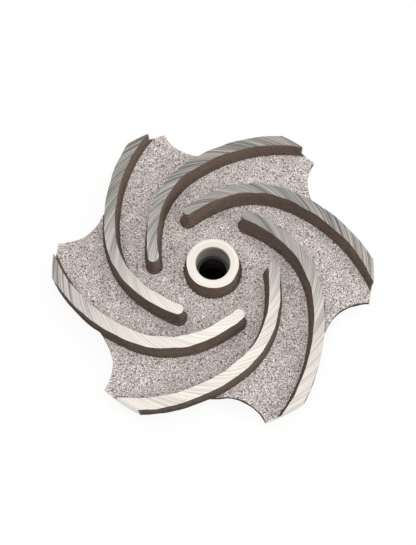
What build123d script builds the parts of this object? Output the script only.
from build123d import *
from math import acos, atan2, cos, degrees, radians, sin, tan
import os

# Semi-open centrifugal pump impeller, cast in one piece and then turned.
# Millimetres. The axis is Z, with the inlet side up and the end face of the rear hub at Z = 0.
# Seen from the inlet the vanes sweep clockwise from nose to tip, so it runs anticlockwise.

# ---- driving dimensions -------------------------------------------------------------------------

# rim and shroud
outer_diameter = 152.4  # turned in one cut over the shroud and the vane tips
shroud_rim_thickness = 3.2
floor_slope = 2.9  # degrees, the floor between the vanes rises towards the hub

# hub
front_hub_diameter = 24.4  # turned end face
front_hub_projection = 14.7  # end face above the floor at the rim
rear_hub_diameter = 28.0  # turned end face
rear_hub_length = 12.0  # end face to the back of the shroud
hub_draft = 3.0  # degrees

# bore
relief_diameter = 15.9  # smooth counterbore, as wide as the outside of the thread
relief_depth = 13.0
thread_hole_diameter = 13.4  # tapping size of the shaft thread
rear_lead_in = 1.25  # chamfer where the shaft enters
front_edge_break = 0.3

# vanes
vane_count = 6
vane_tip_thickness = 5.4  # across the machined top at the rim
vane_draft = 1.5  # degrees
vane_rim_height = 8.3  # machined top above the floor at the rim
vane_top_slope = 10.7  # degrees, the machined tops lie on a cone that rises towards the inlet

# vane centreline: three tangent arcs that start at the nose
nose_circle_radius = 28.1  # where the centreline starts
nose_angle = -125.0  # degrees about Z, the first vane's nose
nose_blade_angle = 13.6  # degrees between the vane and the rotation at its nose
nose_arc_radius = 64.6
nose_arc_sweep = 18.1  # degrees
middle_arc_radius = 42.0
middle_arc_sweep = 42.6  # degrees
outer_arc_radius = 77.7  # runs out through the rim

# scallops: one bite out of the shroud in front of each vane
scallop_radius = 20.6
scallop_centre_outside_rim = 5.2
shroud_land = 13.7  # along the rim, from the vane's centreline to the scallop's corner
run_in_radius = 64.8  # on the next vane's centreline, where the bite's straight side ends

# cast corners
vane_root_flare = 1.3  # 45 degree flare round a vane's foot
hub_root_fillet = 1.8
rear_hub_fillet = 3.0

# foundry stock that the lathe takes off again
rim_stock = 12.0
top_stock = 2.0

# ---- sizes that follow --------------------------------------------------------------------------

rim_radius = outer_diameter / 2
blank_radius = rim_radius + rim_stock
back_z = rear_hub_length
rim_floor_z = back_z + shroud_rim_thickness
front_face_z = rim_floor_z + front_hub_projection
rim_top_z = rim_floor_z + vane_rim_height
vane_pitch = 360 / vane_count


def floor_z(radius):
    """Height of the floor between the vanes, a shallow cone."""
    return rim_floor_z + (rim_radius - radius) * tan(radians(floor_slope))


def top_z(radius):
    """Height of the cone on which the vane tops are turned."""
    return rim_top_z + (rim_radius - radius) * tan(radians(vane_top_slope))


def polar(radius, angle):
    """Point in the XY plane, with the angle in degrees about Z."""
    return Vector(radius * cos(radians(angle)), radius * sin(radians(angle)))


def polar_angle(point):
    """Angle of a point about Z, in degrees."""
    return degrees(atan2(point.Y, point.X))


def corner_angle(side, other_side, opposite):
    """Angle in degrees of a triangle between two sides, from its three lengths."""
    return degrees(acos((side**2 + other_side**2 - opposite**2) / (2 * side * other_side)))


# ---- vane centreline ----------------------------------------------------------------------------

# The heading turns clockwise all the way out. JernArc turns clockwise for a negative arc size.
nose_heading = nose_angle - 90 + nose_blade_angle
outer_arc_heading = nose_heading - nose_arc_sweep - middle_arc_sweep

with BuildLine() as vane_lead:
    nose_arc = JernArc(
        polar(nose_circle_radius, nose_angle),
        polar(1, nose_heading),
        nose_arc_radius,
        -nose_arc_sweep,
    )
    middle_arc = JernArc(nose_arc @ 1, nose_arc % 1, middle_arc_radius, -middle_arc_sweep)

# The outer arc's centre lies square to its heading. From there the arc is carried on until it
# has passed the rim, which needs only the triangle of the axis, the arc's centre and that point.
outer_arc_centre = middle_arc @ 1 + polar(outer_arc_radius, outer_arc_heading - 90)
centre_distance = outer_arc_centre.length
vane_end_radius = rim_radius + rim_stock / 2


def outer_arc_angle(radius):
    """Angle about the outer arc's centre, from the axis round to where the arc has this radius."""
    return corner_angle(centre_distance, outer_arc_radius, radius)


outer_arc_sweep = outer_arc_angle(vane_end_radius) - outer_arc_angle((middle_arc @ 1).length)


def vane_angle(radius):
    """Angle about Z at which the first vane's outer arc passes a radius."""
    return polar_angle(outer_arc_centre) + corner_angle(centre_distance, radius, outer_arc_radius)


# ---- one vane, drafted, before its top is turned ------------------------------------------------

vane_stock_height = top_z(0) + top_stock - back_z
vane_foot_thickness = vane_tip_thickness + 2 * (rim_top_z - back_z) * tan(radians(vane_draft))

with BuildPart() as vane:
    with BuildSketch(Plane.XY.offset(back_z)) as vane_foot:
        with BuildLine() as vane_outline:
            add(vane_lead.line)
            JernArc(middle_arc @ 1, middle_arc % 1, outer_arc_radius, -outer_arc_sweep)
            offset(amount=vane_foot_thickness / 2, side=Side.BOTH)
        make_face()
    extrude(amount=vane_stock_height, taper=vane_draft)

# ---- one scallop's cutter -----------------------------------------------------------------------

# The bite is an arc about a centre outside the rim. Past its deepest point it runs on straight into
# the wall of the next vane, and from there out to the rim nothing is left of the shroud. So the
# cutter is the arc's circle, hulled with two points inside the next vane, less that vane.
scallop_centre_radius = rim_radius + scallop_centre_outside_rim
scallop_corner_angle = vane_angle(rim_radius) - degrees(shroud_land / rim_radius)
scallop_centre_angle = scallop_corner_angle - corner_angle(
    rim_radius, scallop_centre_radius, scallop_radius
)
scallop_centre = polar(scallop_centre_radius, scallop_centre_angle)

next_arc_centre = outer_arc_centre.rotate(Axis.Z, -vane_pitch)
run_in_point = polar(run_in_radius, vane_angle(run_in_radius) - vane_pitch)
run_in_normal = (run_in_point - next_arc_centre).normalized()
run_in_end = run_in_point + run_in_normal * (vane_tip_thickness / 4)
cutter_end = polar(vane_end_radius, vane_angle(vane_end_radius) - vane_pitch)
cutter_depth = floor_z(0) - back_z

with BuildPart() as scallop_cutter:
    with BuildSketch(Plane.XY.offset(back_z)) as scallop_outline:
        with BuildLine():
            CenterArc(scallop_centre, scallop_radius, 0, 360)
            Line(run_in_end, cutter_end)
        make_hull()
    extrude(amount=cutter_depth)
    add(vane.part.rotate(Axis.Z, -vane_pitch), mode=Mode.SUBTRACT)

# ---- the impeller -------------------------------------------------------------------------------

front_hub_radius = front_hub_diameter / 2
rear_hub_radius = rear_hub_diameter / 2
hub_flare = tan(radians(hub_draft))

# foot of the front hub, where its drafted wall meets the sloping floor
hub_foot_radius = (front_hub_radius + (front_face_z - floor_z(0)) * hub_flare) / (
    1 - tan(radians(floor_slope)) * hub_flare
)

with BuildPart() as impeller:
    # hub and shroud in one turned section, with stock on the rim
    with BuildSketch(Plane.XZ) as casting_section:
        with BuildLine():
            Polyline(
                (0, 0),
                (rear_hub_radius, 0),
                (rear_hub_radius + back_z * hub_flare, back_z),
                (blank_radius, back_z),
                (blank_radius, floor_z(blank_radius)),
                (hub_foot_radius, floor_z(hub_foot_radius)),
                (front_hub_radius, front_face_z),
                (0, front_face_z),
                close=True,
            )
        make_face()
    revolve(axis=Axis.Z)

    # vanes
    with PolarLocations(0, vane_count):
        add(vane.part)

    # cast corners: a flare round each vane's foot and fillets round the two hubs
    def is_vane_root(edge):
        """True for an edge between a vane's wall and the floor."""
        points = [edge @ share for share in (0.2, 0.5, 0.8)]
        radii = [Vector(point.X, point.Y).length for point in points]
        on_floor = all(abs(p.Z - floor_z(r)) < 0.01 for p, r in zip(points, radii))
        return on_floor and hub_foot_radius + 1 < min(radii) and max(radii) < blank_radius - 0.01

    def circle_at(radius, height):
        """Round edges about Z with this radius at this height."""
        rings = impeller.edges().filter_by(GeomType.CIRCLE).filter_by_position(
            Axis.Z, height - 0.01, height + 0.01
        )
        return rings.filter_by(lambda ring: abs(ring.radius - radius) < 0.01)

    vane_roots = impeller.edges().filter_by(is_vane_root).filter_by(GeomType.LINE, reverse=True)
    chamfer(vane_roots, length=vane_root_flare)
    fillet(circle_at(hub_foot_radius, floor_z(hub_foot_radius)), radius=hub_root_fillet)
    fillet(circle_at(rear_hub_radius + back_z * hub_flare, back_z), radius=rear_hub_fillet)

    # scallops
    with PolarLocations(0, vane_count):
        add(scallop_cutter.part, mode=Mode.SUBTRACT)

    # vane tops turned to their cone
    with BuildSketch(Plane.XZ) as top_cut:
        with BuildLine():
            Polyline(
                (0, top_z(0)),
                (blank_radius + top_stock, top_z(blank_radius + top_stock)),
                (blank_radius + top_stock, top_z(0) + 2 * top_stock),
                (0, top_z(0) + 2 * top_stock),
                close=True,
            )
        make_face()
    revolve(axis=Axis.Z, mode=Mode.SUBTRACT)

    # rim turned
    with BuildSketch(Plane.XY) as rim_cut:
        Circle(blank_radius + top_stock)
        Circle(rim_radius, mode=Mode.SUBTRACT)
    extrude(amount=top_z(0), mode=Mode.SUBTRACT)

    # bore: smooth relief from the front, tapping hole for the shaft thread from the rear
    with Locations((0, 0, front_face_z)):
        CounterBoreHole(thread_hole_diameter / 2, relief_diameter / 2, relief_depth)
    chamfer(circle_at(thread_hole_diameter / 2, 0), length=rear_lead_in)
    chamfer(circle_at(relief_diameter / 2, front_face_z), length=front_edge_break)

impeller.part.label = "impeller"

os.makedirs("parts", exist_ok=True)
export_step(impeller.part, "parts/impeller.step")

print("overall height", round(impeller.part.bounding_box().size.Z, 2), "mm")
print("volume", round(impeller.part.volume), "mm3")
